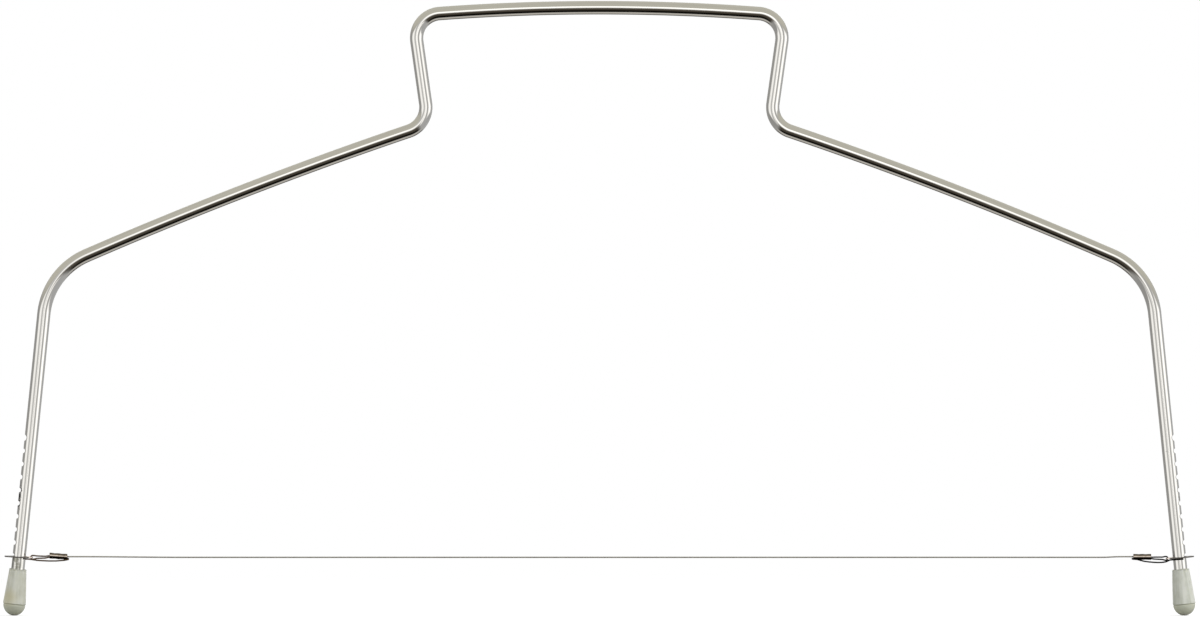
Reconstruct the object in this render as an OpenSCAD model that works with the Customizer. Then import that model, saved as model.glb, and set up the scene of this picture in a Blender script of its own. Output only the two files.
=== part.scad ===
// Wire cake leveler: one bent steel rod with notched legs and soft feet, strung with a cutting wire.
// It stands upright, X along the wire, Y through its thickness and Z up from the tips of the feet.

/* [Rod] */
// Thickness of the round steel rod
rod_d = 3.6; // [3.2:0.1:4.2]

/* [Handle] */
// Half of the grip bar, measured along its arc
bar_half_len = 41.6; // [32:0.2:60]
// Radius of the slight crown in the grip bar
bar_crown_r = 570; // [400:10:1500]
// Centreline radius of the bend at each end of the grip bar
corner_r = 6.4; // [5:0.1:10]
// Straight length of each post under the grip bar
post_len = 16.3; // [10:0.1:30]
// Lean of each post, in towards the middle at its foot
post_lean = 8.05; // [0:0.05:12]
// Centreline radius of the bend from each post into its arm
step_r = 6.6; // [5:0.1:12]

/* [Arms] */
// Slope of each arm where it leaves its post, below level
arm_slope = 18.75; // [12:0.25:26]
// Length of each arm, measured along its arc
arm_len = 89.8; // [60:0.2:120]
// Radius of the slight bow in each arm
arm_bow_r = 1090; // [800:10:3000]
// Centreline radius of the bend from each arm into its leg
shoulder_r = 18.6; // [10:0.1:30]

/* [Legs] */
// Outward lean of each leg
leg_lean = 5.8; // [3:0.1:8]
// Straight length of each leg, from the shoulder bend to the end inside its foot
leg_len = 74.8; // [65:0.1:110]

/* [Notches] */
// Heights at which the wire can be set
notch_count = 10; // [4:1:12]
// Step from one notch to the next, along the leg
notch_pitch = 3.42; // [3:0.02:4]
// Width of the round file that cuts a notch
notch_d = 1.2; // [1:0.1:2.4]
// Depth of a notch into the rod
notch_depth = 0.55; // [0.3:0.05:0.8]
// Gap from the rim of the foot to the middle of the lowest notch, along the leg
notch_rise = 3.3; // [2.4:0.1:6]

/* [Feet] */
// Widest diameter of a foot cap, where its cone meets the domed end
foot_d = 6; // [5.2:0.1:9]
// Diameter of the rim at the top of a foot cap
foot_rim_d = 4.5; // [4.4:0.1:5.1]
// Rounding of the outer edge of the rim
foot_rim_r = 0.25; // [0.1:0.05:0.35]
// Length of a foot cap along the leg, with its domed end
foot_len = 12.2; // [10:0.1:18]
// Depth of the socket that takes the end of the leg
foot_socket = 8.2; // [5:0.1:8.6]
// Gap all round between the leg and its socket
foot_fit = 0.02; // [0.01:0.01:0.1]

/* [Wire] */
// Thickness of the cutting wire
wire_d = 0.36; // [0.3:0.02:0.44]
// Length of wire inside each ferrule at the lowest notch
wire_hold = 0.6; // [0.4:0.1:1]

/* [Tabs] */
// Thickness of the sheet that a tab is stamped from
tab_t = 0.3; // [0.2:0.05:0.35]
// Diameter of the round part of a tab, about the leg
tab_d = 5.7; // [5.6:0.1:7]
// Reach of the finger lug from the middle of the leg
tab_reach = 3.8; // [3.3:0.1:6]
// Width of the finger lug
tab_lug_w = 3.2; // [2:0.1:4]
// Reach of the tongue on the wire's side, from the middle of the leg
tab_tongue_reach = 3.6; // [3.4:0.1:5]
// Width of the tongue
tab_tongue_w = 2.2; // [1.6:0.1:3]
// Running gap between a tab and the leg, on each side
tab_gap = 0.06; // [0.03:0.01:0.1]
// Diameter of the small hole in the tongue that the wire is looped through
tab_eyelet_d = 0.58; // [0.56:0.01:0.6]
// Distance of the small hole from the tongue's end
tab_eyelet_inset = 0.55; // [0.5:0.05:0.7]

/* [Wire eyes] */
// Distance from the turn through the tab to the mouth of the ferrule
eye_len = 4.4; // [4:0.1:8]
// Sag of the outer strand below a straight line
eye_sag = 0.35; // [0.3:0.05:0.8]
// Radius of the tail's turn back under the ferrule
tail_turn_r = 0.32; // [0.32:0.01:0.4]
// How far in front of the loop the tail's cut end lies
eye_tail_front = 0.5; // [0.5:0.02:0.7]
// Length of the upper strand held inside the ferrule
strand_hold = 0.8; // [0.4:0.1:1]

/* [Ferrules] */
// Outside diameter of a ferrule
ferrule_d = 1.4; // [1.35:0.05:2]
// Length of a ferrule
ferrule_len = 4.9; // [4.9:0.1:8]
// Height of the cutting wire above the middle of the ferrule
ferrule_wire_rise = 0.12; // [0.1:0.01:0.15]
// Spacing of the two bores in a ferrule
ferrule_bore_pitch = 0.46; // [0.46:0.01:0.48]
// Gap between the cutting wire and its bore, on each side
ferrule_run = 0.03; // [0.02:0.01:0.03]
// Gap between the lower strand and its bore, on each side
ferrule_grip = 0.01; // [0.01:0.01:0.02]

/* [Hidden] */

round_fn = 48;
sweep_fn = 240;

// A bend is a hair thicker than the stretches beside it, and they run on into it by a short lap
rod_swell = 0.01;
rod_lap = 0.2;
wire_swell = 0.004;
wire_lap = 0.04;

// Points of the rod's centreline on its right half are [x, z], walked out from the middle of the bar.
// A heading is an angle below level, so 90 points straight down.
function along(p, heading, len) = p + len * [cos(heading), -sin(heading)];
function down_centre(p, heading, r) = p - r * [sin(heading), cos(heading)];
function up_centre(p, heading, r) = p + r * [sin(heading), cos(heading)];
function turned_down(p, heading, r, sweep) =
    down_centre(p, heading, r) + r * [sin(heading + sweep), cos(heading + sweep)];
function turned_up(p, heading, r, sweep) =
    up_centre(p, heading, r) - r * [sin(heading - sweep), cos(heading - sweep)];
function arc_sweep(len, r) = len / r * 180 / PI;
function mirrored_point(p) = [-p[0], p[1]];

bar_sweep = arc_sweep(bar_half_len, bar_crown_r);
post_heading = 90 + post_lean;
corner_sweep = post_heading - bar_sweep;
step_sweep = post_heading - arm_slope;
arm_sweep = arc_sweep(arm_len, arm_bow_r);
arm_end_slope = arm_slope + arm_sweep;
leg_heading = 90 - leg_lean;
shoulder_sweep = leg_heading - arm_end_slope;

foot_r = foot_d / 2;
foot_floor = foot_len - foot_socket;

bar_top = [0, 0];
bar_end = turned_down(bar_top, 0, bar_crown_r, bar_sweep);
post_top = turned_down(bar_end, bar_sweep, corner_r, corner_sweep);
post_foot = along(post_top, post_heading, post_len);
arm_top = turned_up(post_foot, post_heading, step_r, step_sweep);
arm_end = turned_down(arm_top, arm_slope, arm_bow_r, arm_sweep);
leg_top = turned_down(arm_end, arm_end_slope, shoulder_r, shoulder_sweep);
leg_end = along(leg_top, leg_heading, leg_len);
dome_centre = along(leg_end, leg_heading, foot_floor - foot_r);

// The tips of the feet stand on the ground, so everything is raised by this much
rise = foot_r - dome_centre[1];

// The loop's lower strand runs straight out of the lower bore, so its turn has the radius of their spacing
eye_turn_r = ferrule_bore_pitch;

// The wire's height and the ends' places at the lowest notch
first_notch = foot_socket + notch_rise;
eyelet_x = tab_tongue_reach - tab_eyelet_inset;
notch_point = along(leg_end, leg_heading, -first_notch);
eyelet = notch_point - eyelet_x * [cos(leg_lean), sin(leg_lean)];
wire_z = eyelet[1] + rise;
ferrule_outer_x = eyelet[0] - eye_turn_r - eye_len;
ferrule_inner_x = ferrule_outer_x - ferrule_len;
ferrule_z = wire_z - ferrule_wire_rise;
tail_z = wire_z - ferrule_bore_pitch;
eye_bend_d = wire_d + 2 * wire_swell;

// A straight length of round bar in the XZ plane
module straight(p, heading, len, d) {
    translate([p[0], 0, p[1]])
        rotate([0, 90 + heading, 0])
            cylinder(d = d, h = len, $fn = round_fn);
}

// A straight stretch that runs on by a lap at both ends
module lapped_straight(p, heading, len, d, lap) {
    straight(along(p, heading, -lap), heading, len + 2 * lap, d);
}

// An arc of round bar in the XZ plane, from an angle above level on its right and on round to the left
module arc(centre, r, from, sweep, d) {
    translate([centre[0], 0, centre[1]])
        rotate([90, 0, 0])
            rotate([0, 0, from])
                rotate_extrude(angle = sweep, $fn = sweep_fn)
                    translate([r, 0])
                        circle(d = d, $fn = round_fn);
}

module arc_down(p, heading, r, sweep, d, lap = 0) {
    extra = arc_sweep(lap, r);
    arc(down_centre(p, heading, r), r, 90 - heading - sweep - extra, sweep + 2 * extra, d);
}

module arc_up(p, heading, r, sweep, d, lap = 0) {
    extra = arc_sweep(lap, r);
    arc(up_centre(p, heading, r), r, 270 - heading - extra, sweep + 2 * extra, d);
}

module grip_bar() {
    translate([0, 0, rise])
        arc_down(mirrored_point(bar_end), -bar_sweep, bar_crown_r, 2 * bar_sweep, rod_d, rod_lap);
}

module right_half_rod() {
    bend_d = rod_d + 2 * rod_swell;
    translate([0, 0, rise]) {
        arc_down(bar_end, bar_sweep, corner_r, corner_sweep, bend_d);
        lapped_straight(post_top, post_heading, post_len, rod_d, rod_lap);
        arc_up(post_foot, post_heading, step_r, step_sweep, bend_d);
        arc_down(arm_top, arm_slope, arm_bow_r, arm_sweep, rod_d, rod_lap);
        arc_down(arm_end, arm_end_slope, shoulder_r, shoulder_sweep, bend_d);
        straight(along(leg_top, leg_heading, -rod_lap), leg_heading, leg_len + rod_lap, rod_d);
    }
}

// Puts its children in the right leg's own frame: origin at the leg's lower end, +Z up the leg, +X outward
module on_right_leg() {
    translate([leg_end[0], 0, leg_end[1] + rise])
        rotate([0, -leg_lean, 0])
            children();
}

module mirrored_left() {
    mirror([1, 0, 0])
        children();
}

module right_notches() {
    on_right_leg()
        for (i = [0 : notch_count - 1])
            translate([rod_d / 2 + notch_d / 2 - notch_depth, 0, first_notch + i * notch_pitch])
                rotate([90, 0, 0])
                    cylinder(d = notch_d, h = 2 * rod_d, center = true, $fn = round_fn);
}

module frame() {
    color([0.78, 0.77, 0.74])
        difference() {
            union() {
                grip_bar();
                right_half_rod();
                mirrored_left()
                    right_half_rod();
            }
            right_notches();
            mirrored_left()
                right_notches();
        }
}

// Half section of a foot cap, from the axis out, with its height measured up from the tip
module foot_section() {
    socket_r = rod_d / 2 + foot_fit;
    rim_r = foot_rim_d / 2;
    difference() {
        union() {
            intersection() {
                translate([0, foot_r])
                    circle(r = foot_r, $fn = round_fn);
                square([foot_r, foot_r]);
            }
            polygon([[0, foot_r], [foot_r, foot_r], [rim_r, foot_len - foot_rim_r], [0, foot_len - foot_rim_r]]);
            square_top = rim_r - foot_rim_r;
            translate([0, foot_len - foot_rim_r])
                square([square_top, foot_rim_r]);
            translate([square_top, foot_len - foot_rim_r])
                intersection() {
                    circle(r = foot_rim_r, $fn = round_fn);
                    square([foot_rim_r, foot_rim_r]);
                }
        }
        translate([0, foot_floor])
            square([socket_r, foot_len]);
    }
}

module right_foot() {
    color([0.76, 0.77, 0.72])
        on_right_leg()
            translate([0, 0, -foot_floor])
                rotate_extrude($fn = sweep_fn)
                    foot_section();
}

module left_foot() {
    mirrored_left()
        right_foot();
}

// A tongue of a tab with a round end, reaching out from the middle of the leg
module tongue(reach, width) {
    end_x = reach - width / 2;
    translate([end_x / 2, 0, 0])
        cube([end_x, width, tab_t], center = true);
    translate([end_x, 0, 0])
        cylinder(d = width, h = tab_t, center = true, $fn = round_fn);
}

module right_tab() {
    color([0.55, 0.54, 0.52])
        on_right_leg()
            translate([0, 0, first_notch])
                difference() {
                    union() {
                        cylinder(d = tab_d, h = tab_t, center = true, $fn = round_fn);
                        tongue(tab_reach, tab_lug_w);
                        rotate([0, 0, 180])
                            tongue(tab_tongue_reach, tab_tongue_w);
                    }
                    cylinder(d = rod_d + 2 * tab_gap, h = 2 * tab_t, center = true, $fn = round_fn);
                    translate([-eyelet_x, 0, 0])
                        cylinder(d = tab_eyelet_d, h = 2 * tab_t, center = true, $fn = round_fn);
                }
}

module left_tab() {
    mirrored_left()
        right_tab();
}

module right_ferrule() {
    bore_len = ferrule_len + 2 * strand_hold;
    color([0.52, 0.48, 0.43])
        difference() {
            straight([ferrule_inner_x, ferrule_z], 0, ferrule_len, ferrule_d);
            straight([ferrule_inner_x - strand_hold, wire_z], 0, bore_len, wire_d + 2 * ferrule_run);
            straight([ferrule_inner_x - strand_hold, tail_z], 0, bore_len, wire_d + 2 * ferrule_grip);
        }
}

module left_ferrule() {
    mirrored_left()
        right_ferrule();
}

// A strand that eases up from one level to another in two equal arcs, between [x, z] points going outward
module rising_strand(p, q) {
    sweep = 2 * atan((q[1] - p[1]) / (q[0] - p[0]));
    r = (q[0] - p[0]) / (2 * sin(sweep));
    arc_up(p, 0, r, sweep, eye_bend_d);
    arc_down(turned_up(p, 0, r, sweep), -sweep, r, sweep, wire_d, wire_lap);
}

// The tail hangs in one shallow arc from its turn under the ferrule to its cut end, which lies in front of the
// loop: the arc is drawn flat and then tilted forward about its start
module sagging_tail(p, q) {
    tilt = atan2(eye_tail_front, q[1] - p[1]);
    flat_rise = norm([q[1] - p[1], eye_tail_front]);
    chord = norm([q[0] - p[0], flat_rise]);
    r = (chord * chord / 4 + eye_sag * eye_sag) / (2 * eye_sag);
    half_sweep = asin(chord / 2 / r);
    chord_heading = -atan2(flat_rise, q[0] - p[0]);
    translate([p[0], 0, p[1]])
        rotate([tilt, 0, 0])
            arc_up([0, 0], chord_heading + half_sweep, r, 2 * half_sweep, wire_d);
}

// The loop of wire through the tab, drawn about the middle of its turn there
module right_wire_eye() {
    turn_top = [0, eye_turn_r];
    turn_bottom = [0, -eye_turn_r];
    upper_mouth = [-eye_len, 0];
    tail_mouth = turn_bottom - [eye_len + ferrule_len, 0];
    color([0.5, 0.49, 0.46])
        translate([eyelet[0] - eye_turn_r, 0, wire_z]) {
            straight(upper_mouth - [strand_hold, 0], 0, strand_hold + wire_lap, wire_d);
            rising_strand(upper_mouth, turn_top);
            arc([0, 0], eye_turn_r, -90, 180, eye_bend_d);
            lapped_straight(tail_mouth, 0, ferrule_len + eye_len, wire_d, wire_lap);
            arc(tail_mouth - [0, tail_turn_r], tail_turn_r, 90, 180, eye_bend_d);
            sagging_tail(tail_mouth - [0, 2 * tail_turn_r], turn_bottom);
        }
}

module left_wire_eye() {
    mirrored_left()
        right_wire_eye();
}

module cutting_wire() {
    reach = ferrule_inner_x + wire_hold;
    color([0.6, 0.6, 0.58])
        straight([-reach, wire_z], 0, 2 * reach, wire_d);
}

frame();
left_foot();
right_foot();
cutting_wire();
left_tab();
right_tab();
left_wire_eye();
right_wire_eye();
left_ferrule();
right_ferrule();
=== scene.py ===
import math

import bpy
import numpy as np
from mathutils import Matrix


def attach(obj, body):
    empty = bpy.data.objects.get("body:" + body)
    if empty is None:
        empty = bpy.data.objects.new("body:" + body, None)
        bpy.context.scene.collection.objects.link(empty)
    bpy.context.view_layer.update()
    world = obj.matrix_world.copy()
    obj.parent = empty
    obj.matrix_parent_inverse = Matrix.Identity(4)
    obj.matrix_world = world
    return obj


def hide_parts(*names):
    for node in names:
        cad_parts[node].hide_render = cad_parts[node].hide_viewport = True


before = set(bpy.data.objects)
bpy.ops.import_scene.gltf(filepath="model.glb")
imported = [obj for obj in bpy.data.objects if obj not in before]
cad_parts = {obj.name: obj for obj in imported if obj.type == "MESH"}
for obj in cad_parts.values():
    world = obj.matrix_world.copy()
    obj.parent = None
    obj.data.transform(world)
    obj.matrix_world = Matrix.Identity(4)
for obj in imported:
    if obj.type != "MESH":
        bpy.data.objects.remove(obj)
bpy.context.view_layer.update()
print("frame loaded")

mm = 0.001  # sizes in the dictionaries are millimetres and degrees, and meshes are metres
deg = math.pi / 180


# Helpers for shapes
def roundAngles(sides):
    # Even angles, once round.
    return np.linspace(0, 2 * math.pi, sides, endpoint=False)


def stacked(*parts):
    # Joins coordinates of different shapes into one array of points.
    return np.stack(np.broadcast_arrays(*parts), -1)


def cornerRound(first, second, blend):
    # How much a blend of that width rounds the corner where two values cross: (1 - gap / blend)^2 blend / 4.
    overlap = np.clip(blend - np.abs(first - second), 0, None) / blend
    return overlap ** 2 * blend / 4


def walkPath(start, heading, lengths, curves, stations):
    # Points and headings of a planar path of straights and arcs, at distances along it.
    #
    # A heading h points along (cos h, -sin h). On an arc of curvature k the heading grows by k times the
    # distance, so the point moves by (sin(h + k d) - sin h, cos(h + k d) - cos h) / k; a straight is k = 0.
    lengths, curves = np.asarray(lengths, float), np.asarray(curves, float)
    starts = np.concatenate([[0], np.cumsum(lengths)])
    headings = heading + np.concatenate([[0], np.cumsum(lengths * curves)])

    def run(h, k, d):
        safe = np.where(k == 0, 1, k)
        bent = np.stack([np.sin(h + k * d) - np.sin(h), np.cos(h + k * d) - np.cos(h)], -1) / safe[:, None]
        plain = np.stack([np.cos(h), -np.sin(h)], -1) * d[:, None]
        return np.where((k == 0)[:, None], plain, bent)

    steps = run(headings[:-1], curves, lengths)
    corners = np.asarray(start, float) + np.concatenate([np.zeros((1, 2)), np.cumsum(steps, 0)])
    part = np.clip(np.searchsorted(starts, stations, side="right") - 1, 0, len(lengths) - 1)
    into = stations - starts[part]
    points = corners[part] + run(headings[part], curves[part], into)
    return points, headings[part] + curves[part] * into


def smoothPath(knots, spacing, window):
    # Even steps along the straight lines between the knots, then a moving average that rounds the corners.
    # The path is turned about its two end points to go on past them, which keeps them in place.
    knots = np.asarray(knots, float)
    lengths = np.linalg.norm(np.diff(knots, axis=0), axis=1)
    marks = np.concatenate([[0], np.cumsum(lengths)])
    steps = np.linspace(0, marks[-1], math.ceil(marks[-1] / spacing) + 1)
    points = np.stack([np.interp(steps, marks, knots[:, i]) for i in range(3)], -1)
    half = round(window / spacing / 2)
    before, after = 2 * points[0] - points[half:0:-1], 2 * points[-1] - points[-2:-half - 2:-1]
    longer = np.concatenate([before, points, after])
    weights = np.hanning(2 * half + 3)[1:-1]
    weights /= weights.sum()
    return np.stack([np.convolve(longer[:, i], weights, "valid") for i in range(3)], -1)


def tubeAlong(points, radius, sides):
    # A round tube: point + radius * (cos a * normal + sin a * sideways), where sideways is Y turned square
    # to the path, and the normal is square to both.
    a = roundAngles(sides)
    along = np.gradient(points, axis=0)
    along /= np.linalg.norm(along, axis=1)[:, None]
    sideways = np.array([0, 1, 0]) - along[:, 1:2] * along
    sideways /= np.linalg.norm(sideways, axis=1)[:, None]
    normal = np.cross(sideways, along)
    across = np.cos(a)[None, :, None] * normal[:, None, :] + np.sin(a)[None, :, None] * sideways[:, None, :]
    return points[:, None, :] + radius * across


def addObject(name, data):
    added = bpy.data.objects.new(name, data)
    bpy.context.scene.collection.objects.link(added)
    return added


def gridMesh(name, grids, capEnds=False, closeAlong=False, flip=False):
    # A mesh from one or more grids of points, rows along the piece and columns round it.
    #
    # Columns always close on themselves. Rows close too for a ring, or end in a pole at each end's middle.
    vertices, faces, first = [], [], 0
    for points in grids:
        rows, columns = points.shape[:2]
        index = first + np.arange(rows * columns).reshape(rows, columns)
        nextColumn = np.roll(index, -1, 1)
        if closeAlong:
            a, b, c, d = index, nextColumn, np.roll(nextColumn, -1, 0), np.roll(index, -1, 0)
        else:
            a, b, c, d = index[:-1], nextColumn[:-1], nextColumn[1:], index[1:]
        parts = [np.stack([a, b, c, d], -1).reshape(-1, 4)]
        vertices.append(points.reshape(-1, 3))
        first += rows * columns
        if capEnds:
            vertices.append(np.stack([points[0].mean(0), points[-1].mean(0)]))
            parts += [np.stack([np.full(columns, first), nextColumn[0], index[0]], -1),
                      np.stack([np.full(columns, first + 1), index[-1], nextColumn[-1]], -1)]
            first += 2
        faces += [face for part in parts for face in (part[:, ::-1] if flip else part).tolist()]
    mesh = bpy.data.meshes.new(name)
    mesh.from_pydata(np.concatenate(vertices) * mm, [], faces)
    mesh.shade_smooth()
    return addObject(name, mesh)


def addAttribute(piece, name, values):
    # Stores one number or one vector for each point of the piece, zero on its two poles.
    mesh = piece.data
    kind, field = ("FLOAT", "value") if values.ndim == 1 else ("FLOAT_VECTOR", "vector")
    full = np.zeros((len(mesh.vertices),) + values.shape[1:], np.float32)
    full[: len(values)] = values
    mesh.attributes.new(name, kind, "POINT").data.foreach_set(field, full.ravel())


# Rod: the steel bar, walked along its centreline from the end of the left leg to the end of the right leg
rod = dict(
    diameter=3.6,
    skin=0.03,          # the surface lies this much inside the bar's full size
    barHalf=41.6,       # half of the grip bar, along its arc
    barCrown=570.0,     # radius of the bar's crown
    cornerRadius=6.4,
    postLength=16.3,
    postLean=8.05,
    stepRadius=6.6,
    armSlope=18.75,
    armLength=89.8,
    armBow=1090.0,
    shoulderRadius=18.6,
    legLean=5.8,
    legLength=74.8,
    ringSides=96,       # columns round the bar
    bendSpacing=0.3,    # distance between rings in the bends
    plainSpacing=2.0,   # and where the radius is larger than the next value
    plainRadius=50.0,
    wobble=0.006,       # how far hand bending leaves the bar from perfectly round
    waves=[(5.1, 2, 0), (8.7, -1, 1.3), (3.3, 3, 0.4)],  # its waves: mm to a radian, turns and phase
)

notches = dict(
    count=10,
    pitch=3.42,
    rise=3.3,           # from the foot's rim to the lowest notch
    width=1.2,          # diameter of the round file
    depth=0.55,
    uneven=0.08,        # share by which the depths differ, from filing by hand
    unevenStep=2.3,     # radians from one notch to the next in the sine that spreads them
    topWider=1.35,      # the highest notch is wider than the others
    blend=0.26,         # rounding of the filed edges
    flank=4.0,          # how steeply the cut ends beside the file
    filedDepth=0.12,    # as deep as this, the surface looks filed
    rings=[0, 0.12, 0.24, 0.34, 0.42, 0.48, 0.53, 0.57, 0.61, 0.66, 0.74, 0.86, 1.05, 1.35],
    notchShadeAt=27.6,       # distance up the left leg to the middle of the painted shade on the notches
    notchShadeReach=5.0,
    notchShadeRight=0.5,     # its strength on the right leg
    notchShadeAround=(2, -0.7),      # round the leg: this much of the cosine, and this added, from 0 to 1
    greyPatchAround=(1.4, -0.1),   # the same for the grey patch
    greyPatchFade=0.5,     # the grey patch under the left tab fades out over this
    greyPatchTurn=0.9,     # radians from the leg's outer side towards its front
)


def rodLayout():
    # The rod's start point, raised to stand on its caps, its first heading, and the lengths and curvatures
    # of its stretches from the left foot to the right one.
    r = rod
    barSweep = r["barHalf"] / r["barCrown"]
    armSweep = r["armLength"] / r["armBow"]
    postTilt = 90 * deg + r["postLean"] * deg
    cornerSweep = postTilt - barSweep
    stepSweep = postTilt - r["armSlope"] * deg
    shoulderSweep = (90 - r["legLean"] - r["armSlope"]) * deg - armSweep
    half = [
        (r["legLength"], 0),
        (shoulderSweep * r["shoulderRadius"], 1 / r["shoulderRadius"]),
        (r["armLength"], 1 / r["armBow"]),
        (stepSweep * r["stepRadius"], -1 / r["stepRadius"]),
        (r["postLength"], 0),
        (cornerSweep * r["cornerRadius"], 1 / r["cornerRadius"]),
    ]
    parts = half + [(2 * r["barHalf"], 1 / r["barCrown"])] + half[::-1]
    lengths, curves = [p[0] for p in parts], [p[1] for p in parts]
    heading = -(90 - r["legLean"]) * deg
    end, _ = walkPath((0, 0), heading, lengths, curves, np.array([sum(lengths)]))
    solidBelow = foot["length"] - foot["socket"] - foot["diameter"] / 2
    startZ = foot["diameter"] / 2 + solidBelow * math.cos(r["legLean"] * deg)
    return (-end[0, 0] / 2, startZ), heading, lengths, curves


def firstNotch():
    # Distance from the leg's end up to the lowest notch, where the tab sits at rest.
    return foot["socket"] + notches["rise"]


def rodStations(lengths, curves):
    # Where the rings stand: close together in the bends and round each notch, wide apart elsewhere.
    ends = np.concatenate([[0], np.cumsum(lengths)])
    slightest = 1 / rod["plainRadius"]
    spacing = [rod["bendSpacing"] if abs(k) > slightest else rod["plainSpacing"] for k in curves]
    runs = [np.linspace(a, b, max(3, math.ceil((b - a) / gap)) + 1)
            for a, b, gap in zip(ends[:-1], ends[1:], spacing)]
    inner = np.array(notches["rings"])
    pattern = np.concatenate([-inner[:0:-1], inner])
    middles = firstNotch() + notches["pitch"] * np.arange(notches["count"])
    near = (middles[:, None] + pattern[None, :]).ravel()
    stations = np.concatenate(runs + [near, ends[-1] - near])
    return np.unique(np.round(stations, 4)), middles, ends[-1]


def notchedBar():
    # The rod's surface: a circle carried along the path, cut by a round file at each notch.
    #
    # In a ring, a point is (radius cos a) outward and (radius sin a) sideways. The file's round edge stands
    # at outward = cutMiddle - sqrt(fileRadius^2 - d^2), d being the distance to the notch, and the outward
    # value is the smooth minimum of the two, so that the filed edges come out rounded.
    start, heading, lengths, curves = rodLayout()
    stations, middles, total = rodStations(lengths, curves)
    points, headings = walkPath(start, heading, lengths, curves, stations)
    radius = rod["diameter"] / 2 - rod["skin"]
    a = roundAngles(rod["ringSides"])
    s = stations[:, None]
    hand = sum(np.sin(s / length + turns * a + phase) for length, turns, phase in rod["waves"]) / 3
    bar = radius + rod["wobble"] * (hand - 1) / 2
    outward, sideways = bar * np.cos(a), bar * np.sin(a)

    n = notches
    alongLeg = np.minimum(stations, total - stations)
    d = np.abs(alongLeg[:, None] - middles[None, :])
    order = np.arange(n["count"])
    fileRadius = n["width"] / 2 * np.where(order == order[-1], n["topWider"], 1)
    cutMiddle = radius + fileRadius - n["depth"] * (1 + n["uneven"] * np.sin(n["unevenStep"] * order))
    reach = np.sqrt(np.clip(fileRadius ** 2 - d ** 2, 0, None))
    beside = cutMiddle + n["flank"] * (d - fileRadius)
    edge = np.where(d < fileRadius, cutMiddle - reach, beside).min(1)[:, None]
    cut = np.minimum(outward, edge) - cornerRound(outward, edge, n["blend"])
    filed = np.clip((outward - cut) / n["filedDepth"], 0, 1)

    normal = stacked(np.sin(headings), 0, np.cos(headings))
    centre = stacked(points[:, 0], 0, points[:, 1])
    surface = centre[:, None] + cut[..., None] * normal[:, None] + sideways[..., None] * np.array([0, 1, 0])
    piece = gridMesh("bentRod", [surface], capEnds=True, flip=True)
    addAttribute(piece, "barSpace", stacked(s, cut, sideways).reshape(-1, 3) * mm)
    addAttribute(piece, "filed", filed.ravel())
    # painted shade on the outer side of the notches, in place of their dark reflection: strong on the left
    # leg and weak on the right
    fade = np.exp(-((alongLeg - n["notchShadeAt"]) / n["notchShadeReach"]) ** 2)
    strength = np.where(stations < total / 2, 1, n["notchShadeRight"]) * fade
    share, shift = n["notchShadeAround"]
    facing = np.clip(share * np.cos(a) + shift, 0, 1)
    addAttribute(piece, "notchShade", (strength[:, None] * facing[None, :]).ravel())
    # a grey mottled patch on the left leg between the cap and the tab, on its outer front
    low = np.clip((firstNotch() - stations) / n["greyPatchFade"], 0, 1)
    share, shift = n["greyPatchAround"]
    facing = np.clip(share * np.cos(a + n["greyPatchTurn"]) + shift, 0, 1)
    addAttribute(piece, "greyPatch", (low[:, None] * facing[None, :]).ravel())
    return piece


def legFrame(side):
    # Where the leg ends, and its outward and upward directions, as [x, z] for one side.
    x, z = rodLayout()[0]
    s, c = math.sin(rod["legLean"] * deg), math.cos(rod["legLean"] * deg)
    return np.array([-x * side, z]), np.array([side * c, s]), np.array([-side * s, c])


def onLeg(side, outward, sideways, upward):
    # Turns a leg's own coordinates into x, y, z.
    end, out, up = legFrame(side)
    outward, sideways, upward = np.broadcast_arrays(outward, sideways, upward)
    flat = end + outward[..., None] * out + upward[..., None] * up
    return np.stack([flat[..., 0], sideways, flat[..., 1]], -1)


foot = dict(
    diameter=6.0,
    rimDiameter=4.5,
    length=12.2,
    socket=8.2,
    spare=0.05,         # the socket is this much deeper than the leg reaches
    lip=0.24,           # rounding of the rim
    lipShare=0.9,       # the rounding inside takes this share of what that leaves of the wall
    seamStep=0.09,      # step of the moulding line between cone and dome
    groove=0.1,         # depth of the fine groove under it
    grooveBelow=0.14,
    grooveWidth=0.11,
    sides=128,
    wobble=0.02,        # unevenness of the soft cap
    mouthWave=0.07,     # half of how far its mouth dips between its two high points
    mouthReach=1.2,     # how far below the rim's rounding the dips start
    floorHole=0.3,      # radius inside which the socket's floor is one fan of faces
)


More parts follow.
